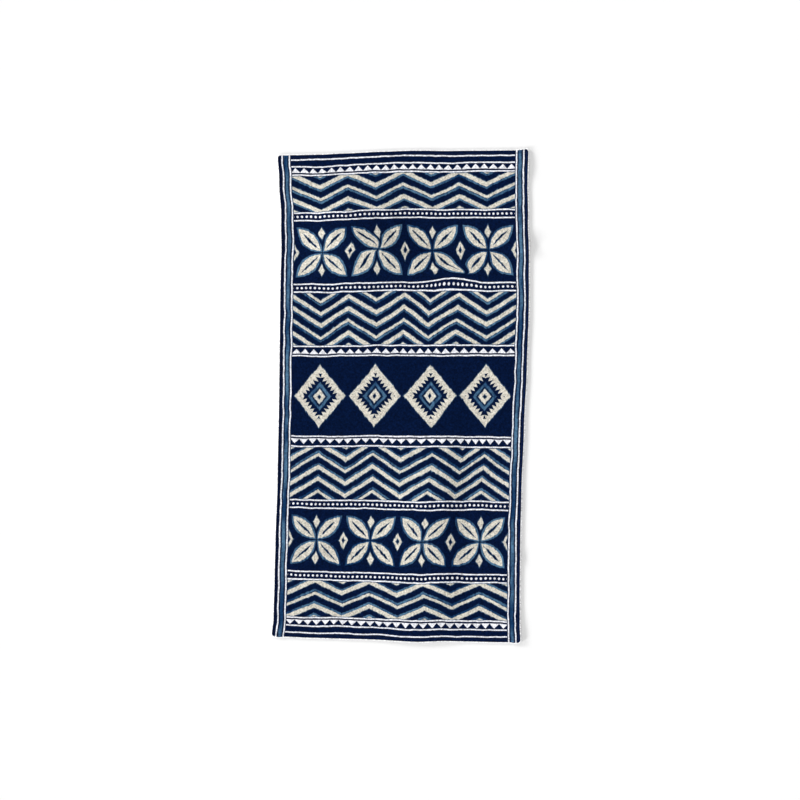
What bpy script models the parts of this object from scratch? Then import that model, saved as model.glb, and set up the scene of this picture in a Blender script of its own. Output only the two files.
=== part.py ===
"""A bath towel of printed terry cloth, laid out flat with the soft folds of a cloth laid down by hand.

The towel is one sheet with its hems, so it is one solid. Metres, +Z up. The towel lies on z = 0 with its
length along Y, and its box is centred on the origin. It touches the surface wherever no fold lifts it.
"""

import math

import bmesh
import bpy
from mathutils import Vector

THICKNESS = 0.003
CORNER_RADIUS = 0.007
CORNER_STEPS = 3
RIM_ROUNDING = 0.0011
RIM_ANGLE = math.radians(60)

# Where the corners of the towel lie: it spreads to 0.70 m, and its sides aren't quite parallel.
BOTTOM_LEFT = Vector((-0.368, -0.675))
BOTTOM_RIGHT = Vector((0.335, -0.693))
TOP_LEFT = Vector((-0.351, 0.674))
TOP_RIGHT = Vector((0.3575, 0.688))

# How each edge bows from the straight line between its corners.
# A row is the share of the way along the edge, and how far the edge lies to the right (sides) or up (ends).
LEFT_EDGE = (
    (0.0, 0.0), (0.04, 0.0045), (0.12, 0.0060), (0.20, 0.0074), (0.32, 0.0110), (0.50, 0.0124),
    (0.72, 0.0122), (0.81, 0.0138), (0.87, 0.0120), (0.945, 0.0051), (1.0, 0.0),
)
RIGHT_EDGE = (
    (0.0, 0.0), (0.04, -0.0030), (0.12, -0.0046), (0.22, -0.0050), (0.31, -0.0040), (0.44, 0.0004),
    (0.56, 0.0055), (0.68, 0.0084), (0.77, 0.0066), (0.86, 0.0020), (0.94, -0.0013), (1.0, 0.0),
)
BOTTOM_EDGE = (
    (0.0, 0.0), (0.17, -0.0021), (0.39, -0.0024), (0.58, -0.0056), (0.70, -0.0012), (0.88, -0.0012),
    (1.0, 0.0),
)
TOP_EDGE = (
    (0.0, 0.0), (0.18, 0.0), (0.25, 0.0016), (0.42, 0.0048), (0.53, 0.0060), (0.70, 0.0031), (0.88, 0.0018),
    (1.0, 0.0),
)

# The folds. Each is a ridge along a line that bows to its left by "bow", seen from its start.
# The heights are those at its start, middle and end, and the widths those of its left and right slope.
#   name               start            end              bow     heights                widths
FOLDS = (
    ("long_ridge", (-0.372, 0.470), (0.262, 0.312), 0.010, (0.004, 0.009, 0.000), (0.070, 0.030)),
    ("right_ridge", (-0.050, 0.528), (0.385, 0.410), 0.000, (0.000, 0.005, 0.006), (0.055, 0.036)),
    ("swell", (-0.165, 0.650), (-0.135, 0.250), 0.000, (0.000, 0.019, 0.000), (0.270, 0.165)),
    ("short_crease", (0.050, 0.028), (0.205, -0.030), 0.000, (0.000, 0.004, 0.000), (0.026, 0.018)),
    ("side_ridge", (0.105, 0.060), (0.085, -0.760), 0.000, (0.000, 0.010, 0.003), (0.100, 0.220)),
    ("left_edge_lift", (-0.350, 0.448), (-0.225, 0.452), 0.000, (0.008, 0.003, 0.000), (0.045, 0.042)),
    ("top_corner_lift", (0.385, 0.640), (0.255, 0.650), 0.000, (0.004, 0.001, 0.000), (0.060, 0.060)),
    ("bottom_corner_lift", (0.355, -0.675), (0.240, -0.590), 0.000, (0.003, 0.001, 0.000), (0.060, 0.060)),
)

# Where the mesh needs its columns and rows: from, to, and how many.
COLUMNS = ((0.0, 0.60, 17), (0.60, 0.80, 13), (0.80, 1.0, 7))
ROWS = ((0.0, 0.17, 7), (0.17, 0.54, 17), (0.54, 0.70, 6), (0.70, 0.90, 25), (0.90, 1.0, 5))

PRINT_INK = (0.004, 0.010, 0.048, 1.0)
PRINT_ROUGHNESS = 0.95


def smooth(share):
    """A ramp from 0 to 1 that starts and ends level."""
    share = min(1.0, max(0.0, share))
    return share * share * (3.0 - 2.0 * share)


def read_table(table, place):
    """The value at a place in a table of (place, value) rows, smooth between the rows."""
    for (start, low), (end, high) in zip(table, table[1:]):
        if place <= end:
            return low + (high - low) * smooth((place - start) / (end - start))
    return table[-1][1]


def graded(bands, share):
    """The place of an evenly counted line, 0 to 1, among bands of (from, to, how many)."""
    left = share * sum(count for _, _, count in bands)
    for start, end, count in bands:
        if left <= count:
            return start + (end - start) * left / count
        left -= count
    return bands[-1][1]


def plan_point(across, along):
    """Where the point at these shares of the width and the length lies, seen from above."""
    left = BOTTOM_LEFT.lerp(TOP_LEFT, along) + Vector((read_table(LEFT_EDGE, along), 0.0))
    right = BOTTOM_RIGHT.lerp(TOP_RIGHT, along) + Vector((read_table(RIGHT_EDGE, along), 0.0))
    end_bow = (1.0 - along) * read_table(BOTTOM_EDGE, across) + along * read_table(TOP_EDGE, across)
    return left.lerp(right, across) + Vector((0.0, end_bow))


def ridge_height(point, start, end, bow, heights, widths):
    """How high one fold lifts the cloth at a point of the plan."""
    axis = Vector(end) - Vector(start)
    away = point - Vector(start)
    along = away.dot(axis) / axis.length_squared
    if not 0.0 <= along <= 1.0:
        return 0.0
    to_left = axis.x * away.y - axis.y * away.x
    distance = to_left / axis.length - bow * 4.0 * along * (1.0 - along)
    width = widths[0] if distance > 0.0 else widths[1]
    if abs(distance) >= width:
        return 0.0
    profile = math.cos(0.5 * math.pi * distance / width) ** 2
    first, middle, last = heights
    crest = read_table(((0.0, first), (0.5, middle), (1.0, last)), along)
    return crest * profile


def lift(point):
    """The height of the cloth's underside over the surface, with all the folds."""
    return sum(ridge_height(point, *shape) for _, *shape in FOLDS)


def cloth_colour():
    """The printed face's ink on terry cloth."""
    material = bpy.data.materials.new("printed_terry")
    material.use_nodes = True
    shader = material.node_tree.nodes["Principled BSDF"]
    shader.inputs["Base Color"].default_value = PRINT_INK
    shader.inputs["Roughness"].default_value = PRINT_ROUGHNESS
    shader.inputs["Metallic"].default_value = 0.0
    return material


def lay_out(mesh):
    """Moves the points of an even unit grid to where the towel's underside lies, centred on the origin."""
    for vertex in mesh.verts:
        across = graded(COLUMNS, vertex.co.x + 0.5)
        along = graded(ROWS, vertex.co.y + 0.5)
        point = plan_point(across, along)
        vertex.co = (point.x, point.y, lift(point))


def round_corners(mesh):
    """Rounds the four corners of the sheet."""
    corners = [vertex for vertex in mesh.verts if len(vertex.link_edges) == 2]
    bmesh.ops.bevel(
        mesh,
        geom=corners,
        offset=CORNER_RADIUS,
        offset_type="OFFSET",
        segments=CORNER_STEPS,
        profile=0.5,
        affect="VERTICES",
    )


def centre(mesh):
    """Moves the sheet so that its box is centred on the Z axis."""
    for side in (0, 1):
        low = min(vertex.co[side] for vertex in mesh.verts)
        high = max(vertex.co[side] for vertex in mesh.verts)
        for vertex in mesh.verts:
            vertex.co[side] -= 0.5 * (low + high)


def make_towel(collection):
    """The towel: a sheet on the surface, with the cloth's thickness added upwards and its rim rounded."""
    sheet = bmesh.new()
    columns = sum(count for _, _, count in COLUMNS)
    rows = sum(count for _, _, count in ROWS)
    bmesh.ops.create_grid(sheet, x_segments=columns, y_segments=rows, size=0.5)
    lay_out(sheet)
    round_corners(sheet)
    centre(sheet)
    mesh = bpy.data.meshes.new("towel")
    sheet.to_mesh(mesh)
    sheet.free()
    mesh.materials.append(cloth_colour())
    towel = bpy.data.objects.new("towel", mesh)
    collection.objects.link(towel)
    body = towel.modifiers.new("thickness", "SOLIDIFY")
    body.thickness = THICKNESS
    body.offset = 1.0
    rim = towel.modifiers.new("rim", "BEVEL")
    rim.width = RIM_ROUNDING
    rim.segments = 1
    rim.limit_method = "ANGLE"
    rim.angle_limit = RIM_ANGLE
    mesh.shade_smooth()
    return towel


def main():
    for leftover in list(bpy.data.objects):
        bpy.data.objects.remove(leftover)
    collection = bpy.data.collections.new("bath_towel")
    bpy.context.scene.collection.children.link(collection)
    make_towel(collection)


main()
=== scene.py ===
"""The looks of a bath towel of printed terry cloth, laid out flat on a pale floor.

The towel is one closed sheet on the folds of the frame, with the stitches of its hem. Lengths are in metres.
A "cut" place is a place on the flat cloth, measured from its middle: X across its width, Y along its length.
A "plan" place is where that lies, seen from above.
"""

import functools
import math

import bmesh
import bpy
import numpy as np
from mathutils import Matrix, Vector


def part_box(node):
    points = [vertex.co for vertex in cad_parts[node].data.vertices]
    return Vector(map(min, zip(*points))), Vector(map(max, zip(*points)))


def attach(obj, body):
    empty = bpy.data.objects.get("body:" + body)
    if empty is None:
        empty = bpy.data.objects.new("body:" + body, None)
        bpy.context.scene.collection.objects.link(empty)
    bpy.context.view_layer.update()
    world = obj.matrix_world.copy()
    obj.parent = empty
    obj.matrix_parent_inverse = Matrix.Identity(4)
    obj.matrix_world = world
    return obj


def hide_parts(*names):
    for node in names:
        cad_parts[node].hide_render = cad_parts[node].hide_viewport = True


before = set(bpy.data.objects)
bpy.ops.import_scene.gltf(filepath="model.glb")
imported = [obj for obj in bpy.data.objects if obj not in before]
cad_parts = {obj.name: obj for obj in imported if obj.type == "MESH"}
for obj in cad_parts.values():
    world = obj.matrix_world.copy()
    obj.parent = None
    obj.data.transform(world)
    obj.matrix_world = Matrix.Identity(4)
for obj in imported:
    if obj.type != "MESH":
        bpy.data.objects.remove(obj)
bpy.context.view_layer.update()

# The cloth as it was cut and sewn.
CUT_WIDTH = 0.70
CUT_LENGTH = 1.38
HALF_WIDTH = 0.5 * CUT_WIDTH
HALF_LENGTH = 0.5 * CUT_LENGTH
THICKNESS = 0.003
RIM_RADIUS = 0.0014
CORNER_RADIUS = 0.008

# The hem is raised between a slope at the edge of the cloth and one at its seam. The seam is a groove in the
# face, and a share of its depth shows in the underside.
HEM_WIDTH = 0.0098
HEM_RISE = 0.0006
HEM_EDGE_SLOPE = 0.004
HEM_SEAM_SLOPE = 0.002
SEAM_DEPTH = 0.0010
SEAM_WIDTH = 0.0016
SEAM_SHARE_BELOW = 0.3

# The stitches are flattened beads. The rise is how far their middle stands over the cloth, as a share of
# their width.
STITCH_PITCH = 0.0034
STITCH_LENGTH = 0.0027
STITCH_WIDTH = 0.00075
STITCH_FLATNESS = 0.7
STITCH_RISE = 0.25
STITCH_SEGMENTS = 6
STITCH_RINGS = 4

# The slight ups and downs of the pile: pairs of waves that cross, and the share that each pair has.
# A wave is how fast it turns across and along the cloth, in radians for each metre, and where it starts.
PILE_RISE = 0.00022
PILE_WAVES = (
    (0.65, (31.0, 17.0, 0.7), (-11.0, 23.0, 0.0)),
    (0.35, (83.0, -61.0, 0.0), (29.0, 97.0, 1.3)),
)

# Where the corners of the towel lie.
BOTTOM_LEFT = np.array((-0.368, -0.675))
BOTTOM_RIGHT = np.array((0.335, -0.693))
TOP_LEFT = np.array((-0.351, 0.674))
TOP_RIGHT = np.array((0.3575, 0.688))

# How each edge bows from the straight line between its corners.
# A row is the share of the way along the edge, and how far the edge lies to the right (sides) or up (ends).
LEFT_EDGE = (
    (0.0, 0.0), (0.04, 0.0045), (0.12, 0.0060), (0.20, 0.0074), (0.32, 0.0110), (0.50, 0.0124),
    (0.72, 0.0122), (0.81, 0.0138), (0.87, 0.0120), (0.945, 0.0051), (1.0, 0.0),
)
RIGHT_EDGE = (
    (0.0, 0.0), (0.04, -0.0030), (0.12, -0.0046), (0.22, -0.0050), (0.31, -0.0040), (0.44, 0.0004),
    (0.56, 0.0055), (0.68, 0.0084), (0.77, 0.0066), (0.86, 0.0020), (0.94, -0.0013), (1.0, 0.0),
)
BOTTOM_EDGE = (
    (0.0, 0.0), (0.17, -0.0021), (0.39, -0.0024), (0.58, -0.0056), (0.70, -0.0012), (0.88, -0.0012),
    (1.0, 0.0),
)
TOP_EDGE = (
    (0.0, 0.0), (0.18, 0.0), (0.25, 0.0016), (0.42, 0.0048), (0.53, 0.0060), (0.70, 0.0031), (0.88, 0.0018),
    (1.0, 0.0),
)

# The folds. Each is a ridge along a line that bows to its left by "bow", seen from its start.
# The heights are those at its start, middle and end, and the widths those of its left and right slope.
#   name               start            end              bow     heights                widths
FOLDS = (
    ("long_ridge", (-0.372, 0.470), (0.262, 0.312), 0.010, (0.004, 0.009, 0.000), (0.070, 0.030)),
    ("right_ridge", (-0.050, 0.528), (0.385, 0.410), 0.000, (0.000, 0.005, 0.006), (0.055, 0.036)),
    ("swell", (-0.165, 0.650), (-0.135, 0.250), 0.000, (0.000, 0.019, 0.000), (0.270, 0.165)),
    ("short_crease", (0.050, 0.028), (0.205, -0.030), 0.000, (0.000, 0.004, 0.000), (0.026, 0.018)),
    ("side_ridge", (0.105, 0.060), (0.085, -0.760), 0.000, (0.000, 0.010, 0.003), (0.100, 0.220)),
    ("left_edge_lift", (-0.350, 0.448), (-0.225, 0.452), 0.000, (0.008, 0.003, 0.000), (0.045, 0.042)),
    ("top_corner_lift", (0.385, 0.640), (0.255, 0.650), 0.000, (0.004, 0.001, 0.000), (0.060, 0.060)),
    ("bottom_corner_lift", (0.355, -0.675), (0.240, -0.590), 0.000, (0.003, 0.001, 0.000), (0.060, 0.060)),
)

# Faint wrinkles between the folds, in the same columns.
WRINKLES = (
    ("fan_upper", (-0.090, 0.560), (0.020, 0.420), 0.006, (0.000, 0.0030, 0.000), (0.020, 0.014)),
    ("fan_lower", (-0.150, 0.350), (0.080, 0.290), -0.008, (0.000, 0.0028, 0.000), (0.018, 0.012)),
    ("fan_left", (-0.330, 0.560), (-0.160, 0.480), 0.004, (0.000, 0.0018, 0.000), (0.026, 0.020)),
    ("below_right", (0.150, 0.270), (0.330, 0.300), 0.006, (0.000, 0.0022, 0.000), (0.022, 0.018)),
    ("middle", (-0.200, 0.080), (-0.040, 0.110), 0.004, (0.000, 0.0014, 0.000), (0.026, 0.026)),
    ("lower_left", (-0.340, -0.330), (-0.190, -0.300), 0.006, (0.0015, 0.0014, 0.000), (0.030, 0.024)),
    ("lower_right", (0.170, -0.500), (0.345, -0.450), 0.000, (0.000, 0.0016, 0.0020), (0.030, 0.030)),
)

# Where the cloth was pushed along the surface as it was laid, in plan. The last three draw out corners.
#   centre             radii             push
PUSHES = (
    ((-0.098, 0.426), (0.075, 0.036), (0.013, 0.000)),
    ((-0.098, 0.388), (0.080, 0.030), (-0.002, 0.009)),
    ((0.140, 0.344), (0.085, 0.030), (0.022, 0.000)),
    ((0.140, 0.318), (0.100, 0.036), (0.000, 0.012)),
    ((0.125, 0.190), (0.160, 0.150), (-0.012, 0.000)),
    ((0.130, -0.150), (0.150, 0.170), (0.019, 0.000)),
    ((0.100, -0.460), (0.150, 0.150), (-0.012, 0.000)),
    ((0.356, 0.690), (0.046, 0.032), (0.000, 0.0046)),
    ((0.317, -0.690), (0.017, 0.030), (0.0008, -0.0020)),
    ((-0.344, -0.672), (0.019, 0.030), (0.000, -0.0024)),
)

# The mesh. Its outermost lines lie a rim radius inside the edges of the cloth, the next ones at these
# distances from them, and the rest evenly spaced. The samples are those of each side when it is centred.
EDGE_LINES = (
    0.0, 0.0012, 0.0026, 0.0042, 0.0060, 0.0074, 0.0082, 0.0090, 0.0098, 0.0106, 0.0116, 0.0132, 0.0160,
)
LINE_SPACING = 0.0050
OUTLINE_SAMPLES = 401

# The rim's rings of points, and how many of its rows of faces, from the top, have the face's material.
# The slots are the numbers of the sheet's two materials.
RIM_RINGS = 5
PRINTED_RIM_ROWS = 3
FACE_SLOT = 0
BACK_SLOT = 1

# The print's bands. The first lies across the middle of the towel, and the others follow towards both ends.
LOZENGE_BAND = (-0.110, 0.110)
LOWER_TEETH = (0.110, 0.146)
WIDE_ZIGZAGS = (0.146, 0.292)
LOWER_BEADS = (0.292, 0.322)
LEAF_BAND = (0.322, 0.496)
UPPER_BEADS = (0.496, 0.526)
NARROW_ZIGZAGS = (0.526, 0.626)
END_TEETH = (0.626, 0.658)
END_LINE = 0.674
THIN_LINE_WIDTH = 0.0036

# The bands end at a border on each side. A blue stripe and two thin lines lie this far beyond it.
SIDE_BORDER = 0.310
SIDE_STRIPE = 0.0145
SIDE_STRIPE_WIDTH = 0.008
SIDE_LINES = (0.0045, 0.0245)

# How far the print stays from the edges of the cloth.
UNPRINTED_SIDES = 0.0034
UNPRINTED_ENDS = 0.0022

# The motifs. A lozenge is half its width and half its height. A leaf is the place of its middle along its
# line, half its length and half its width. The buds lie this far from the middle of the leaves' row.
MOTIF_PITCH = 0.155
LOZENGE = (0.072, 0.088)
LOZENGE_CORE = (0.017, 0.021)
LOZENGE_EYE = (0.006, 0.008)
RING_WIDTH = 0.0110
RING_TOOTH_PITCH = 0.0150
RING_TOOTH_HEIGHT = 0.0120
INNER_LINE_DEPTH = 0.0335
INNER_LINE_WIDTH = 0.007
LEAF_BLADE = (0.050, 0.043, 0.0175)
LEAF_VEIN = (0.048, 0.032, 0.0036)
LEAF_BORDER = (0.051, 0.049, 0.0228)
BUD = (0.009, 0.017)
BUD_PLACE = 0.052
SIDE_BUD = (0.013, 0.024)
SIDE_BUD_EYE = (0.0055, 0.011)

# The zigzag stripes. Their half width swings along the towel, by so many radians in a metre, and a blue
# stripe lies beside each.
WIDE_ZIGZAG_HEIGHT = 0.050
NARROW_ZIGZAG_HEIGHT = 0.036
ZIGZAG_SPACING = 0.0345
ZIGZAG_HALF_WIDTH = 0.0052
ZIGZAG_SWING = 0.0013
ZIGZAG_SWING_TURN = 67.0
ZIGZAG_BLUE_SHIFT = 0.0090
ZIGZAG_BLUE_HALF_WIDTH = 0.0028

# The rows of beads and of teeth between thin lines. The lines of the beads lie on both sides of their
# middle, and the lines and the feet of the teeth are measured from the limits of the row.
BEAD_PITCH = 0.0125
BEAD_RADIUS = 0.0032
BEAD_LINES = 0.0112
TEETH_LINES = 0.004
TOOTH_FOOT = 0.0105
TOOTH_PITCH = 0.025
TOOTH_HEIGHT = 0.0135

# The dyes, in linear light.
NAVY = (0.0012, 0.0071, 0.0365)
DEEP_NAVY = (0.0007, 0.0047, 0.0240)
DARK_BLUE = (0.006, 0.034, 0.100)
SOFT_BLUE = (0.070, 0.155, 0.255)
CREAM = (0.568, 0.564, 0.480)
PINK_CREAM = (0.588, 0.530, 0.470)
WHITE_LINE = (0.760, 0.770, 0.820)
BASE_CLOTH = (0.840, 0.840, 0.850)
# A darker white painted into the hollows between the back's loops: painted shade.
HOLLOW_PAINTED_SHADE = (0.640, 0.640, 0.650)
THREAD = (0.010, 0.020, 0.070)
# How dark the hollows of the thread's twist are painted: painted shade.
THREAD_HOLLOW_PAINTED_SHADE = 0.7
FLOOR_COLOUR = (0.880, 0.880, 0.880)
SKY_COLOUR = (1.0, 1.0, 1.0)

# The noises of the materials. Each has so many lumps in a metre across and along the cloth, so many finer
# layers, and a place of its own in the noise, which is counted in one direction.
WANDER = ((16.0, 16.0), 2.0, 3.0)
TREMBLE = ((95.0, 95.0), 1.0, 11.0)
STREAKS = ((150.0, 24.0), 3.0, 23.0)
CLOUDS = ((9.0, 6.0), 3.0, 41.0)
GRAINS = ((230.0, 230.0), 2.0, 57.0)
FACE_FIBRES = ((1300.0, 1100.0), 2.0, 71.0)
BACK_FIBRES = ((340.0, 300.0), 2.0, 83.0)
TWIST = ((900.0, 900.0), 1.0, 5.0)
NOISE_DIRECTION = (1.0, 0.37, 0.71)

# The tufts and loops of the pile: how many there are in a metre across and along the cloth, and how uneven
# their rows are, from 0 to 1.
FACE_TUFTS = ((620.0, 540.0), 0.80)
BACK_LOOPS = ((520.0, 400.0), 0.5)

# How far the noises move the print's lines and edges, and how softly one dye turns into another.
WANDER_REACH = 0.008
TREMBLE_REACH = 0.0016
RAGGED_REACH = 0.0065
RIM_REACH = 0.0010
STREAK_TIDE = 0.5
CLOUD_TIDE = 1.1
NAVY_CHANGE = 0.14
BLUE_CHANGE = 0.16
CREAM_CHANGE = 0.20

# The edges of the dyes: how soft they are, and how ragged, as a share of the ragged reach. The bleed is
# the dye that runs out of the cream shapes' edges, over a reach and with a strength.
BLUE_SOFTNESS = 0.0016
BLUE_RAGGED = 0.8
CREAM_SOFTNESS = 0.0008
ZIGZAG_RAGGED = 0.5
LINE_SOFTNESS = 0.0006
RIM_SOFTNESS = 0.0006
BLEED_SOFTNESS = 0.0022
BLEED_RAGGED = 1.4
BLEED_REACH = 0.0010
BLEED_STRENGTH = 0.80

# How much the grains, fibres, tufts and loops do to the tone of the cloth and to its relief. The grains and
# fibres vary the tone at random; the gaps between the face's tufts and the hollows between the back's loops
# are painted darker, as painted shade.
GRAIN_SHADE = 1.75
FIBRE_SHADE = 0.90
TUFT_GAP_PAINTED_SHADE = 0.42
SHADE_DROP = 0.12
GRAIN_RELIEF = 0.5
FIBRE_RELIEF = 0.6
TUFT_RELIEF = 0.5
BACK_LEVEL = 0.55
BACK_FIBRE_RELIEF = 0.6
BACK_LOOP_RELIEF = 0.6
BACK_CHANGE = 0.35

# The finishes, as roughness, specular level and sheen, and the bumps, as depth and strength.
FACE_FINISH = (0.95, 0.01, 0.01)
BACK_FINISH = (0.96, 0.12, 0.10)
THREAD_FINISH = (0.75, 0.25, 0.05)
FLOOR_FINISH = (0.9, 0.1, 0.0)
SHEEN_ROUGHNESS = 0.6
FACE_BUMP = (0.0009, 0.50)
BACK_BUMP = (0.0008, 0.30)
THREAD_BUMP = (0.0003, 0.5)

# The photograph's view: the towel from straight above.
FRAME_WIDTH = 2.24
FRAME_CENTRE = (-0.0009, -0.0100)
LENS = 85.0
SENSOR = 36.0
FURTHEST_SEEN = 200.0

# The studio. Each lamp is a soft sun: the side that it shines from, counted from +X to +Y, how high it
# stands and how wide it is, in degrees, and what it adds to a level white surface.
#   name            side   height  width  light
LAMPS = (
    ("upper_low_lamp", 150.0, 11.0, 7.0, 0.095),
    ("upper_high_lamp", 150.0, 16.0, 10.0, 0.095),
    ("lower_low_lamp", 210.0, 11.0, 7.0, 0.095),
    ("lower_high_lamp", 210.0, 16.0, 10.0, 0.095),
    ("top_lamp", 95.0, 20.0, 14.0, 0.055),
    ("bottom_lamp", 265.0, 20.0, 14.0, 0.055),
)
SKY_STRENGTH = 0.653
FLOOR_SIZE = 40.0
FLOOR_DROP = 0.0002


def smooth(share):
    """A ramp from 0 to 1 that starts and ends level."""
    share = np.clip(share, 0.0, 1.0)
    return share * share * (3.0 - 2.0 * share)


def read_table(table, place):
    """The values at places in a table of (place, value) rows, smooth between the rows."""
    places, values = np.array(table).T
    row = np.clip(np.searchsorted(places, place, side="left") - 1, 0, len(places) - 2)
    share = (place - places[row]) / (places[row + 1] - places[row])
    return values[row] + (values[row + 1] - values[row]) * smooth(share)


def plan_outline(cut_x, cut_y):
    """Where cut places lie in plan, as the edges place them."""
    across = cut_x / CUT_WIDTH + 0.5
    along = cut_y / CUT_LENGTH + 0.5
    left_x = BOTTOM_LEFT[0] + (TOP_LEFT[0] - BOTTOM_LEFT[0]) * along + read_table(LEFT_EDGE, along)
    left_y = BOTTOM_LEFT[1] + (TOP_LEFT[1] - BOTTOM_LEFT[1]) * along
    right_x = BOTTOM_RIGHT[0] + (TOP_RIGHT[0] - BOTTOM_RIGHT[0]) * along + read_table(RIGHT_EDGE, along)
    right_y = BOTTOM_RIGHT[1] + (TOP_RIGHT[1] - BOTTOM_RIGHT[1]) * along
    end_bow = (1.0 - along) * read_table(BOTTOM_EDGE, across) + along * read_table(TOP_EDGE, across)
    return left_x + (right_x - left_x) * across, left_y + (right_y - left_y) * across + end_bow


def pushed(plan_x, plan_y):
    """Plan places after the cloth was pushed along the surface."""
    moved_x = plan_x.copy()
    moved_y = plan_y.copy()
    for (centre_x, centre_y), (radius_x, radius_y), (push_x, push_y) in PUSHES:
        away = np.hypot((plan_x - centre_x) / radius_x, (plan_y - centre_y) / radius_y)
        share = smooth(1.0 - away)
        moved_x += push_x * share
        moved_y += push_y * share
    return moved_x, moved_y


def ridge_height(plan_x, plan_y, start, end, bow, heights, widths):
    """How high one fold lifts the cloth at places of the plan."""
    axis_x = end[0] - start[0]
    axis_y = end[1] - start[1]
    length = math.hypot(axis_x, axis_y)
    away_x = plan_x - start[0]
    away_y = plan_y - start[1]
    along = (away_x * axis_x + away_y * axis_y) / length**2
    inside = (along >= 0.0) & (along <= 1.0)
    along = np.clip(along, 0.0, 1.0)
    distance = (axis_x * away_y - axis_y * away_x) / length - bow * 4.0 * along * (1.0 - along)
    width = np.where(distance > 0.0, widths[0], widths[1])
    profile = np.cos(0.5 * math.pi * np.clip(distance / width, -1.0, 1.0)) ** 2
    first, middle, last = heights
    crest = read_table(((0.0, first), (0.5, middle), (1.0, last)), along)
    return np.where(inside, crest * profile, 0.0)


def lift(plan_x, plan_y):
    """The height of the cloth's underside over the floor, with all the folds."""
    return sum(ridge_height(plan_x, plan_y, *shape) for _, *shape in FOLDS + WRINKLES)


def edge_distance(cut_x, cut_y):
    """How far cut places are from the edge of the cloth, with its rounded corners."""
    beyond_x = np.abs(cut_x) - (HALF_WIDTH - CORNER_RADIUS)
    beyond_y = np.abs(cut_y) - (HALF_LENGTH - CORNER_RADIUS)
    outside = np.hypot(np.maximum(beyond_x, 0.0), np.maximum(beyond_y, 0.0))
    return CORNER_RADIUS - outside - np.minimum(np.maximum(beyond_x, beyond_y), 0.0)


def wave(cut_x, cut_y, across, along, start):
    """A straight wave over the cloth, from -1 to 1."""
    return np.sin(across * cut_x + along * cut_y + start)


def unevenness(cut_x, cut_y):
    """The slight ups and downs of the pile, from -1 to 1."""
    return sum(
        share * (wave(cut_x, cut_y, *first) * wave(cut_x, cut_y, *second))
        for share, first, second in PILE_WAVES
    )


def seam(from_edge):
    """The groove that the hem's stitches pull into the cloth, from 0 to 1."""
    return np.exp(-(((from_edge - HEM_WIDTH) / SEAM_WIDTH) ** 2))


def surfaces(cut_x, cut_y):
    """The plan places of cut places, and the heights of the cloth's underside and face there."""
    plan_x, plan_y = pushed(*plan_outline(cut_x, cut_y))
    base = lift(plan_x, plan_y)
    from_edge = edge_distance(cut_x, cut_y)
    groove = seam(from_edge)
    hem = smooth((HEM_WIDTH - from_edge) / HEM_SEAM_SLOPE) * smooth(from_edge / HEM_EDGE_SLOPE)
    pile = THICKNESS + HEM_RISE * hem - SEAM_DEPTH * groove + PILE_RISE * unevenness(cut_x, cut_y)
    return plan_x, plan_y, base + SEAM_SHARE_BELOW * SEAM_DEPTH * groove, base + pile


def grid_lines(half):
    """The places of the mesh's lines over a width or length, given half of it: closer near its two edges."""
    reach = half - RIM_RADIUS
    inner = reach - EDGE_LINES[-1]
    count = 2 * round(inner / LINE_SPACING)
    middle = np.linspace(-inner, inner, count + 1)
    edge = reach - np.array(EDGE_LINES[:-1])
    return np.concatenate((-edge, middle, edge[::-1]))


def rounded(cut_x, cut_y):
    """A grid's cut places with the squares in its corners drawn in to quarter circles."""
    radius = CORNER_RADIUS - RIM_RADIUS
    inner_x = HALF_WIDTH - CORNER_RADIUS
    inner_y = HALF_LENGTH - CORNER_RADIUS
    share_x = np.clip((np.abs(cut_x) - inner_x) / radius, 0.0, 1.0)
    share_y = np.clip((np.abs(cut_y) - inner_y) / radius, 0.0, 1.0)
    corner = (share_x > 0.0) & (share_y > 0.0)
    round_x = inner_x + radius * share_x * np.sqrt(1.0 - 0.5 * share_y**2)
    round_y = inner_y + radius * share_y * np.sqrt(1.0 - 0.5 * share_x**2)
    return (
        np.where(corner, np.sign(cut_x) * round_x, cut_x),
        np.where(corner, np.sign(cut_y) * round_y, cut_y),
    )


def boundary(columns, rows):
    """The numbers of a grid's outer points, anticlockwise from its first."""
    grid = np.arange(columns * rows).reshape(rows, columns)
    return np.concatenate((grid[0, :-1], grid[:-1, -1], grid[-1, :0:-1], grid[:0:-1, 0]))


def centring():
    """How far the plan moves so that its outline is centred in the frame's box."""
    low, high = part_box("towel")
    share = np.linspace(-1.0, 1.0, OUTLINE_SAMPLES)
    side = np.ones_like(share)
    cut_x = np.concatenate((share, share, side, -side)) * HALF_WIDTH
    cut_y = np.concatenate((side, -side, share, share)) * HALF_LENGTH
    plan_x, plan_y = plan_outline(cut_x, cut_y)
    return (
        0.5 * (low.x + high.x - plan_x.min() - plan_x.max()),
        0.5 * (low.y + high.y - plan_y.min() - plan_y.max()),
    )


def rim_rings(cut, plan, under, face, edge):
    """The rim's points and their cut places, ring by ring from the top.

    The rim bulges outwards from the outer points of the face and the underside.
    """
    along = plan[np.roll(edge, -1)] - plan[np.roll(edge, 1)]
    along /= np.hypot(along[:, 0], along[:, 1])[:, None]
    outwards = np.column_stack((along[:, 1], -along[:, 0]))
    centre = 0.5 * (face[edge] + under[edge])
    half = 0.5 * (face[edge] - under[edge])
    points = []
    cuts = []
    for ring in range(1, RIM_RINGS + 1):
        turn = math.pi * (0.5 - ring / (RIM_RINGS + 1))
        reach = RIM_RADIUS * math.cos(turn)
        points.append(np.column_stack((plan[edge] + reach * outwards, centre + half * math.sin(turn))))
        cuts.append(cut[edge] + reach * outwards)
    return points, cuts


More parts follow.
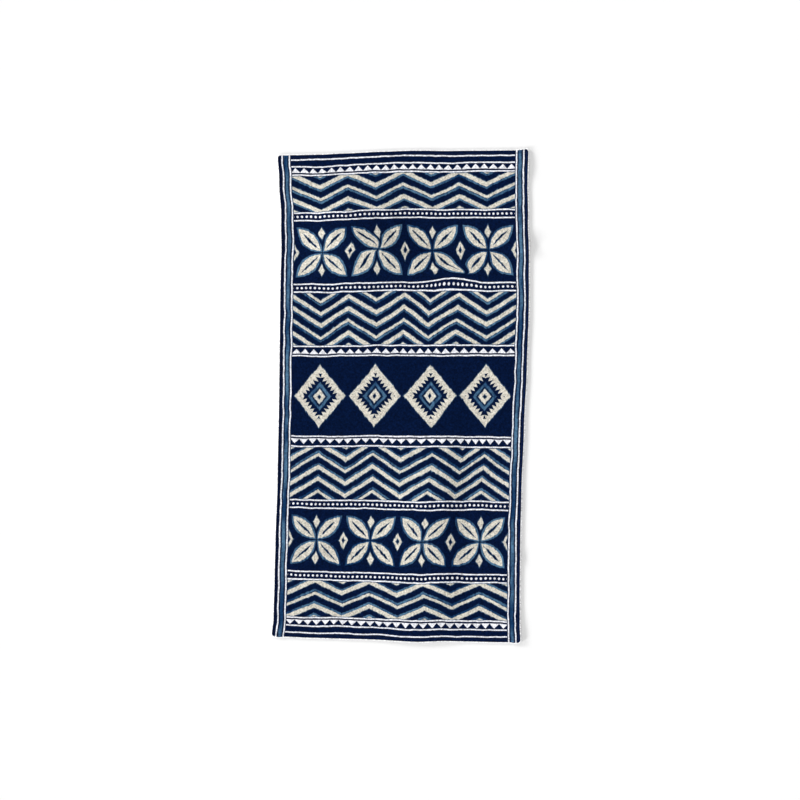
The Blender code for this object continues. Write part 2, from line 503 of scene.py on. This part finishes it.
def sheet_faces(columns, rows, edge):
    """The faces of the sheet's upper side, of its underside, and of its rim row by row from the top."""
    count = columns * rows
    grid = np.arange(count).reshape(rows, columns)
    corners = (grid[:-1, :-1], grid[:-1, 1:], grid[1:, 1:], grid[1:, :-1])
    upper_side = np.stack([corner.ravel() for corner in corners], axis=1)
    underside = upper_side[:, ::-1] + count
    rings = [2 * count + ring * len(edge) + np.arange(len(edge)) for ring in range(RIM_RINGS)]
    rings = [edge, *rings, edge + count]
    rim = [
        np.stack((upper, lower, np.roll(lower, -1), np.roll(upper, -1)), axis=1)
        for upper, lower in zip(rings, rings[1:])
    ]
    return upper_side, underside, np.concatenate(rim)


def new_piece(name, points, faces):
    """A smoothly shaded piece of the scene."""
    mesh = bpy.data.meshes.new(name)
    mesh.from_pydata(points.tolist(), [], faces)
    mesh.shade_smooth()
    piece = bpy.data.objects.new(name, mesh)
    bpy.context.scene.collection.objects.link(piece)
    return piece


def make_towel():
    """The sheet: a face and an underside on the folds, joined by a rounded rim."""
    columns = grid_lines(HALF_WIDTH)
    rows = grid_lines(HALF_LENGTH)
    cut_x, cut_y = rounded(*(side.ravel() for side in np.meshgrid(columns, rows)))
    plan_x, plan_y, under, face = surfaces(cut_x, cut_y)
    cut = np.column_stack((cut_x, cut_y))
    plan = np.column_stack((plan_x, plan_y)) + centring()
    edge = boundary(len(columns), len(rows))
    rim_points, rim_cuts = rim_rings(cut, plan, under, face, edge)
    points = np.concatenate((np.column_stack((plan, face)), np.column_stack((plan, under)), *rim_points))
    cuts = np.concatenate((cut, cut, *rim_cuts))
    upper_side, underside, rim = sheet_faces(len(columns), len(rows), edge)
    towel = new_piece("terry_sheet", points, np.concatenate((upper_side, underside, rim)).tolist())

    printed_rim = PRINTED_RIM_ROWS * len(edge)
    slots = np.repeat(
        (FACE_SLOT, BACK_SLOT, FACE_SLOT, BACK_SLOT),
        (len(upper_side), len(underside), printed_rim, len(rim) - printed_rim),
    )
    towel.data.polygons.foreach_set("material_index", slots.astype(np.int32))
    places = towel.data.attributes.new("cut", "FLOAT_VECTOR", "POINT")
    places.data.foreach_set("vector", np.column_stack((cuts, np.zeros(len(cuts)))).ravel())
    return towel


def stitch_ends():
    """The cut places where the hem's stitches start and where they end."""
    side = HALF_WIDTH - HEM_WIDTH
    end = HALF_LENGTH - HEM_WIDTH
    across = np.arange(-side + STITCH_PITCH, side, STITCH_PITCH)
    along = np.arange(-end + STITCH_PITCH, end, STITCH_PITCH)
    starts = np.concatenate(
        [np.column_stack((across, np.full_like(across, place))) for place in (-end, end)]
        + [np.column_stack((np.full_like(along, place), along)) for place in (-side, side)]
    )
    headings = np.zeros_like(starts)
    headings[: 2 * len(across), 0] = STITCH_LENGTH
    headings[2 * len(across) :, 1] = STITCH_LENGTH
    return starts, starts + headings


def face_points(cut):
    """The points of the cloth's face over cut places."""
    plan_x, plan_y, _, face = surfaces(*cut.T)
    return np.column_stack((plan_x, plan_y, face)) + (*centring(), 0.0)


def bead_shape():
    """The points and faces of a round bead about the origin, one metre across.

    Blender makes a sphere's faces in another order each run, so they are sorted.
    """
    bead = bmesh.new()
    bmesh.ops.create_uvsphere(bead, u_segments=STITCH_SEGMENTS, v_segments=STITCH_RINGS, radius=0.5)
    bead.verts.index_update()
    points = np.array([vertex.co for vertex in bead.verts])
    faces = sorted([vertex.index for vertex in face.verts] for face in bead.faces)
    bead.free()
    return points, [np.array(face) for face in faces]


def make_stitches():
    """The hem's stitches on the face: short soft beads of thread along the seam."""
    first, last = (face_points(ends) for ends in stitch_ends())
    middle = 0.5 * (first + last)
    middle[:, 2] += STITCH_RISE * STITCH_WIDTH
    direction = (last - first) / np.linalg.norm(last - first, axis=1, keepdims=True)
    sideways = np.cross(np.array((0.0, 0.0, 1.0)), direction)
    sideways /= np.linalg.norm(sideways, axis=1, keepdims=True)
    upwards = np.cross(direction, sideways)
    bead, bead_faces = bead_shape()
    points = (
        middle[:, None, :]
        + bead[None, :, 2:3] * STITCH_LENGTH * direction[:, None, :]
        + bead[None, :, 0:1] * STITCH_WIDTH * sideways[:, None, :]
        + bead[None, :, 1:2] * STITCH_WIDTH * STITCH_FLATNESS * upwards[:, None, :]
    ).reshape(-1, 3)
    faces = [(face + number * len(bead)).tolist() for number in range(len(middle)) for face in bead_faces]
    return new_piece("hem_stitches", points, faces)


class Field:
    """A number or a colour at each point of a surface, worked out by shader nodes.

    Fields of numbers add, subtract, multiply and divide.
    """

    def __init__(self, tree, socket):
        self.tree = tree
        self.socket = socket

    def to(self, operation, *others):
        """What a Math node makes of this field and the others, which may be plain numbers."""
        return math_node(self.tree, operation, self, *others)

    def __add__(self, other):
        return self.to("ADD", other)

    def __sub__(self, other):
        return self.to("SUBTRACT", other)

    def __rsub__(self, other):
        return math_node(self.tree, "SUBTRACT", other, self)

    def __neg__(self):
        return 0.0 - self

    def __mul__(self, other):
        return self.to("MULTIPLY", other)

    def __truediv__(self, other):
        return self.to("DIVIDE", other)

    def __abs__(self):
        return self.to("ABSOLUTE")


def math_node(tree, operation, *values):
    """What a Math node makes of its values, which are fields or plain numbers."""
    node = tree.nodes.new("ShaderNodeMath")
    node.operation = operation
    for socket, value in zip(node.inputs, values):
        if isinstance(value, Field):
            tree.links.new(value.socket, socket)
        else:
            socket.default_value = value
    return Field(tree, node.outputs[0])


def joined(*distances):
    """The distance field of shapes taken together. Such a field is negative inside its shape."""
    return functools.reduce(lambda one, other: one.to("MINIMUM", other), distances)


def shared(*distances):
    """The distance field of what shapes have in common."""
    return functools.reduce(lambda one, other: one.to("MAXIMUM", other), distances)


def middle_of(limits):
    """The place halfway between two limits."""
    return 0.5 * (limits[0] + limits[1])


def line(place, centre, width):
    """A straight stripe of a width, at a centre."""
    return abs(place - centre) - 0.5 * width


def within(place, limits):
    """All that lies between two limits."""
    return line(place, middle_of(limits), limits[1] - limits[0])


def repeated(place, pitch):
    """The place within a repeat, measured from the repeat's middle."""
    return place - (place / pitch).to("ROUND") * pitch


def length_of(x, y):
    """The length of a line that goes this far across and this far along."""
    return (x * x + y * y).to("SQRT")


def lozenge(x, y, half_width, half_height):
    """A lozenge about the origin."""
    scale = half_width * half_height / math.hypot(half_width, half_height)
    return (abs(x) * (scale / half_width) + abs(y) * (scale / half_height)) - scale


def rhombic_teeth(x, y, half_width, half_height, pitch):
    """A wave from 0 to 1 along a lozenge's sides, for its teeth."""
    place = abs(x) * (half_width / half_height) - abs(y)
    return abs(repeated(place, pitch)) * (2.0 / pitch)


def leaf(along, aside, middle, half_length, half_width):
    """A pointed leaf along a line."""
    share = (along - middle) / half_length
    return abs(aside) - (1.0 - share * share) * half_width


def zigzag(x, pitch, height):
    """A zigzag line's height, from 0 to its full height."""
    return abs(repeated(x, pitch)) * (2.0 * height / pitch)


def teeth(x, y, foot, pitch, height):
    """A row of pointed teeth that stand on a line."""
    side = math.hypot(height, 0.5 * pitch)
    slope = (abs(repeated(x, pitch)) * height + (y - foot) * (0.5 * pitch) - 0.5 * pitch * height) / side
    return shared(slope, foot - y)


def softly_inside(distance, softness):
    """1 inside a shape and 0 outside, with a soft edge."""
    node = distance.tree.nodes.new("ShaderNodeMapRange")
    node.interpolation_type = "SMOOTHSTEP"
    distance.tree.links.new(distance.socket, node.inputs["Value"])
    node.inputs["From Min"].default_value = -softness
    node.inputs["From Max"].default_value = softness
    node.inputs["To Min"].default_value = 1.0
    node.inputs["To Max"].default_value = 0.0
    return Field(distance.tree, node.outputs["Result"])


def where_high(noisy, softness):
    """1 where a noise is high and 0 where it is low, with a soft change."""
    return softly_inside(0.5 - noisy, softness)


def swing(noisy, reach):
    """A noise as a number that swings about 0, over a reach."""
    return (noisy - 0.5) * reach


def mixed(share, first, second):
    """The second colour over the first, where the share is 1."""
    tree = share.tree
    node = tree.nodes.new("ShaderNodeMix")
    node.data_type = "RGBA"
    tree.links.new(share.socket, node.inputs["Factor"])
    for value, socket in ((first, node.inputs[6]), (second, node.inputs[7])):
        if isinstance(value, Field):
            tree.links.new(value.socket, socket)
        else:
            socket.default_value = (*value, 1.0)
    return Field(tree, node.outputs[2])


def shaded(ink, tone_and_painted_shade):
    """A colour made lighter or darker by a number."""
    node = ink.tree.nodes.new("ShaderNodeVectorMath")
    node.operation = "SCALE"
    ink.tree.links.new(ink.socket, node.inputs[0])
    ink.tree.links.new(tone_and_painted_shade.socket, node.inputs["Scale"])
    return Field(ink.tree, node.outputs[0])


def cut_place(tree):
    """The cut place of each point, as a vector."""
    node = tree.nodes.new("ShaderNodeAttribute")
    node.attribute_name = "cut"
    return node.outputs["Vector"]


def across_and_along(tree, place):
    """How far a place lies across the cloth and along it, as two fields."""
    split = tree.nodes.new("ShaderNodeSeparateXYZ")
    tree.links.new(place, split.inputs[0])
    return Field(tree, split.outputs[0]), Field(tree, split.outputs[1])


def noise(tree, place, scales, layers, start):
    """Three unlike noises from 0 to 1, with so many lumps in a metre across and along the cloth."""
    scaled = tree.nodes.new("ShaderNodeMapping")
    scaled.inputs["Scale"].default_value = (*scales, 1.0)
    scaled.inputs["Location"].default_value = tuple(share * start for share in NOISE_DIRECTION)
    tree.links.new(place, scaled.inputs["Vector"])
    node = tree.nodes.new("ShaderNodeTexNoise")
    node.inputs["Scale"].default_value = 1.0
    node.inputs["Detail"].default_value = layers
    tree.links.new(scaled.outputs["Vector"], node.inputs["Vector"])
    split = tree.nodes.new("ShaderNodeSeparateColor")
    tree.links.new(node.outputs["Color"], split.inputs[0])
    return [Field(tree, socket) for socket in split.outputs]


def tufts_of(tree, place, scales, disorder):
    """How far each point is from the middle of its tuft or loop of pile, from 0 to about 1."""
    scaled = tree.nodes.new("ShaderNodeMapping")
    scaled.inputs["Scale"].default_value = (*scales, 0.0)
    tree.links.new(place, scaled.inputs["Vector"])
    node = tree.nodes.new("ShaderNodeTexVoronoi")
    node.voronoi_dimensions = "2D"
    node.feature = "SMOOTH_F1"
    node.inputs["Smoothness"].default_value = 1.0
    node.inputs["Scale"].default_value = 1.0
    node.inputs["Randomness"].default_value = disorder
    tree.links.new(scaled.outputs["Vector"], node.inputs["Vector"])
    return Field(tree, node.outputs["Distance"])


def new_material(name, roughness, specular, sheen):
    """A material with its even values set on the shader's own sockets."""
    material = bpy.data.materials.new(name)
    material.use_nodes = True
    shader = material.node_tree.nodes["Principled BSDF"]
    shader.inputs["Roughness"].default_value = roughness
    shader.inputs["Specular IOR Level"].default_value = specular
    shader.inputs["Sheen Weight"].default_value = sheen
    shader.inputs["Sheen Roughness"].default_value = SHEEN_ROUGHNESS
    return material, material.node_tree, shader


def add_bump(tree, shader, height, depth, strength):
    """Gives a material the relief of a height field."""
    node = tree.nodes.new("ShaderNodeBump")
    node.inputs["Distance"].default_value = depth
    node.inputs["Strength"].default_value = strength
    tree.links.new(height.socket, node.inputs["Height"])
    tree.links.new(node.outputs["Normal"], shader.inputs["Normal"])


def lozenge_row(x, y, limits):
    """Toothed lozenges, one within the other. Returns their cream and their blue."""
    local = repeated(x + 0.5 * MOTIF_PITCH, MOTIF_PITCH)
    outer = lozenge(local, y, *LOZENGE)
    serration = rhombic_teeth(local, y, *LOZENGE, RING_TOOTH_PITCH)
    ring = shared(outer, -(outer + RING_WIDTH + serration * RING_TOOTH_HEIGHT))
    core = shared(lozenge(local, y, *LOZENGE_CORE), -lozenge(local, y, *LOZENGE_EYE))
    blue = line(outer, -INNER_LINE_DEPTH, INNER_LINE_WIDTH)
    band = within(y, limits)
    return shared(joined(ring, core), band), shared(blue, band)


def leaf_row(x, y, limits):
    """Four leaves that meet in the middle of each repeat, and small lozenges between them.

    Returns their cream and their blue.
    """
    local = abs(repeated(x + 0.5 * MOTIF_PITCH, MOTIF_PITCH))
    height = abs(y - middle_of(limits))
    along = (local + height) * math.sqrt(0.5)
    aside = (local - height) * math.sqrt(0.5)
    blade = leaf(along, aside, *LEAF_BLADE)
    vein = leaf(along, aside, *LEAF_VEIN)
    bud = lozenge(local, height - BUD_PLACE, *BUD)
    from_side = local - 0.5 * MOTIF_PITCH
    side_bud = shared(lozenge(from_side, height, *SIDE_BUD), -lozenge(from_side, height, *SIDE_BUD_EYE))
    cream = joined(shared(blade, -vein), bud, side_bud)
    blue = shared(leaf(along, aside, *LEAF_BORDER), -blade)
    band = within(y, limits)
    return shared(cream, band), shared(blue, band)


def zigzag_band(x, y, limits, height):
    """Zigzag stripes of uneven widths. Returns their cream and their blue."""
    slant = math.cos(math.atan2(2.0 * height, MOTIF_PITCH))
    place = y - limits[0] + zigzag(x, MOTIF_PITCH, height)
    half_width = (place * ZIGZAG_SWING_TURN).to("SINE") * ZIGZAG_SWING + ZIGZAG_HALF_WIDTH
    cream = (abs(repeated(place, ZIGZAG_SPACING)) - half_width) * slant
    blue = (abs(repeated(place + ZIGZAG_BLUE_SHIFT, ZIGZAG_SPACING)) - ZIGZAG_BLUE_HALF_WIDTH) * slant
    band = within(y, limits)
    return shared(cream, band), shared(blue, band)


def bead_row(x, y, limits):
    """Two thin lines with a row of beads between them."""
    from_middle = y - middle_of(limits)
    beads = length_of(repeated(x, BEAD_PITCH), from_middle) - BEAD_RADIUS
    return joined(beads, line(abs(from_middle), BEAD_LINES, THIN_LINE_WIDTH))


def teeth_row(x, y, limits):
    """Two thin lines with a row of teeth between them."""
    start, end = limits
    places = (start + TEETH_LINES, end - TEETH_LINES)
    lines = joined(*(line(y, place, THIN_LINE_WIDTH) for place in places))
    return joined(lines, teeth(x, y, start + TOOTH_FOOT, TOOTH_PITCH, TOOTH_HEIGHT))


def print_shapes(x, y):
    """The shapes of the print: bold cream motifs, cream zigzags, blue shapes and thin white lines."""
    panel = within(x, (-SIDE_BORDER, SIDE_BORDER))
    lozenges, lozenge_blue = lozenge_row(x, y, LOZENGE_BAND)
    leaves, leaf_blue = leaf_row(x, y, LEAF_BAND)
    wide, wide_blue = zigzag_band(x, y, WIDE_ZIGZAGS, WIDE_ZIGZAG_HEIGHT)
    narrow, narrow_blue = zigzag_band(x, y, NARROW_ZIGZAGS, NARROW_ZIGZAG_HEIGHT)
    bold = shared(joined(lozenges, leaves), panel)
    zigzags = shared(joined(wide, narrow), panel)
    blue = shared(joined(lozenge_blue, leaf_blue, wide_blue, narrow_blue), panel)
    stripe = line(abs(x), SIDE_BORDER + SIDE_STRIPE, SIDE_STRIPE_WIDTH)
    rows = joined(
        teeth_row(x, y, LOWER_TEETH),
        bead_row(x, y, LOWER_BEADS),
        bead_row(x, y, UPPER_BEADS),
        teeth_row(x, y, END_TEETH),
        line(y, END_LINE, THIN_LINE_WIDTH),
    )
    side_lines = (line(abs(x), SIDE_BORDER + place, THIN_LINE_WIDTH) for place in SIDE_LINES)
    return bold, zigzags, joined(blue, stripe), joined(shared(rows, panel), *side_lines)


def print_edge(x, y):
    """How far each point is beyond the edge of the print, which has rounded corners as the cloth does."""
    beyond_x = abs(x) - (HALF_WIDTH - CORNER_RADIUS - UNPRINTED_SIDES)
    beyond_y = abs(y) - (HALF_LENGTH - CORNER_RADIUS - UNPRINTED_ENDS)
    outside = length_of(beyond_x.to("MAXIMUM", 0.0), beyond_y.to("MAXIMUM", 0.0))
    return outside + shared(beyond_x, beyond_y).to("MINIMUM", 0.0) - CORNER_RADIUS


def print_colour(tree, place, grains):
    """The print: crosswise bands of dyed motifs between plain lengthwise lines, on a white cloth."""
    x, y = across_and_along(tree, place)
    wander = noise(tree, place, *WANDER)
    tremble = noise(tree, place, *TREMBLE)
    streaks = noise(tree, place, *STREAKS)
    clouds = noise(tree, place, *CLOUDS)
    drawn_x = x + swing(wander[0], WANDER_REACH) + swing(tremble[0], TREMBLE_REACH)
    drawn_y = abs(y + swing(wander[1], WANDER_REACH) + swing(tremble[1], TREMBLE_REACH))
    bold, zigzags, blue, thin = print_shapes(drawn_x, drawn_y)

    tide = swing(streaks[1], STREAK_TIDE) + swing(clouds[0], CLOUD_TIDE)
    navy = mixed(where_high(grains[2], NAVY_CHANGE), DEEP_NAVY, NAVY)
    blues = mixed(softly_inside(-tide, BLUE_CHANGE), DARK_BLUE, SOFT_BLUE)
    creams = mixed(where_high(grains[1], CREAM_CHANGE), CREAM, PINK_CREAM)

    ragged = swing(streaks[0], RAGGED_REACH)
    ragged_cream = joined(bold + ragged, zigzags + ragged * ZIGZAG_RAGGED)
    ragged_bleed = joined(bold, zigzags) - BLEED_REACH + ragged * BLEED_RAGGED
    ink = mixed(softly_inside(blue + ragged * BLUE_RAGGED, BLUE_SOFTNESS), navy, blues)
    ink = mixed(softly_inside(ragged_bleed, BLEED_SOFTNESS) * BLEED_STRENGTH, ink, SOFT_BLUE)
    ink = mixed(softly_inside(ragged_cream, CREAM_SOFTNESS), ink, creams)
    ink = mixed(softly_inside(thin, LINE_SOFTNESS), ink, WHITE_LINE)
    printed = softly_inside(print_edge(x, y) + swing(tremble[2], RIM_REACH), RIM_SOFTNESS)
    return mixed(1.0 - printed, ink, BASE_CLOTH)


def printed_terry():
    """The face: sheared pile with the print in it, and painted shade in the gaps between its tufts."""
    material, tree, shader = new_material("printed_terry", *FACE_FINISH)
    place = cut_place(tree)
    grains = noise(tree, place, *GRAINS)
    fibres = noise(tree, place, *FACE_FIBRES)
    tufts = tufts_of(tree, place, *FACE_TUFTS)
    # The gaps between the tufts are painted darker here, as painted shade; the grains and fibres vary the
    # tone at random.
    tone_and_painted_shade = grains[0] * GRAIN_SHADE + fibres[0] * FIBRE_SHADE - tufts * TUFT_GAP_PAINTED_SHADE - SHADE_DROP
    ink = shaded(print_colour(tree, place, grains), tone_and_painted_shade)
    tree.links.new(ink.socket, shader.inputs["Base Color"])
    relief = fibres[0] * FIBRE_RELIEF + grains[2] * GRAIN_RELIEF - tufts * TUFT_RELIEF
    add_bump(tree, shader, relief, *FACE_BUMP)
    return material


def terry_back():
    """The underside and the lower part of the rim: white loops in rows, with painted shade in the hollows
    between them.
    """
    material, tree, shader = new_material("terry_back", *BACK_FINISH)
    place = cut_place(tree)
    fibres = noise(tree, place, *BACK_FIBRES)
    hollows = tufts_of(tree, place, *BACK_LOOPS)
    loops = fibres[0] * BACK_FIBRE_RELIEF + BACK_LEVEL - hollows * BACK_LOOP_RELIEF
    # The hollows between the loops take the darker white: painted shade.
    yarn_with_painted_shade = mixed(where_high(loops, BACK_CHANGE), HOLLOW_PAINTED_SHADE, BASE_CLOTH)
    tree.links.new(yarn_with_painted_shade.socket, shader.inputs["Base Color"])
    add_bump(tree, shader, loops, *BACK_BUMP)
    return material


def hem_thread():
    """The stitches' cotton thread, with painted shade in the hollows of its twist."""
    material, tree, shader = new_material("hem_thread", *THREAD_FINISH)
    place = tree.nodes.new("ShaderNodeTexCoord").outputs["Object"]
    twist = noise(tree, place, *TWIST)
    # The twist's hollows are painted darker: painted shade.
    yarn_with_painted_shade = mixed(twist[0], tuple(THREAD_HOLLOW_PAINTED_SHADE * part for part in THREAD), THREAD)
    tree.links.new(yarn_with_painted_shade.socket, shader.inputs["Base Color"])
    add_bump(tree, shader, twist[1], *THREAD_BUMP)
    return material


def make_floor():
    """The pale floor, just under the towel."""
    bpy.ops.mesh.primitive_plane_add(size=FLOOR_SIZE, location=(0.0, 0.0, -FLOOR_DROP))
    floor = bpy.context.object
    floor.name = "floor"
    material, _, shader = new_material("pale_floor", *FLOOR_FINISH)
    shader.inputs["Base Color"].default_value = (*FLOOR_COLOUR, 1.0)
    floor.data.materials.append(material)


def make_sky():
    """An even white sky."""
    world = bpy.data.worlds.new("studio")
    world.use_nodes = True
    background = world.node_tree.nodes["Background"]
    background.inputs["Color"].default_value = (*SKY_COLOUR, 1.0)
    background.inputs["Strength"].default_value = SKY_STRENGTH
    bpy.context.scene.world = world


def make_lamps():
    """Low soft suns: four from the left, as in the photograph, and one from each end of the towel."""
    for name, side, height, width, light in LAMPS:
        side = math.radians(side)
        height = math.radians(height)
        lamp = bpy.data.lights.new(name, "SUN")
        lamp.angle = math.radians(width)
        lamp.energy = math.pi * light / math.sin(height)
        sun = bpy.data.objects.new(name, lamp)
        level = math.cos(height)
        towards = Vector((level * math.cos(side), level * math.sin(side), math.sin(height)))
        sun.rotation_euler = towards.to_track_quat("Z", "Y").to_euler()
        bpy.context.scene.collection.objects.link(sun)


def make_camera():
    """The camera straight above the towel, which looks down with the towel's length up the picture."""
    data = bpy.data.cameras.new("camera")
    data.lens = LENS
    data.sensor_width = SENSOR
    data.clip_end = FURTHEST_SEEN
    camera = bpy.data.objects.new("camera", data)
    camera.location = (*FRAME_CENTRE, FRAME_WIDTH * LENS / SENSOR)
    bpy.context.scene.collection.objects.link(camera)
    bpy.context.scene.camera = camera


towel = make_towel()
towel.data.materials.append(printed_terry())
towel.data.materials.append(terry_back())
stitches = make_stitches()
stitches.data.materials.append(hem_thread())
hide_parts("towel")
for piece in (towel, stitches):
    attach(piece, "root")
make_floor()
make_sky()
make_lamps()
make_camera()
bpy.context.scene.view_settings.view_transform = "Standard"
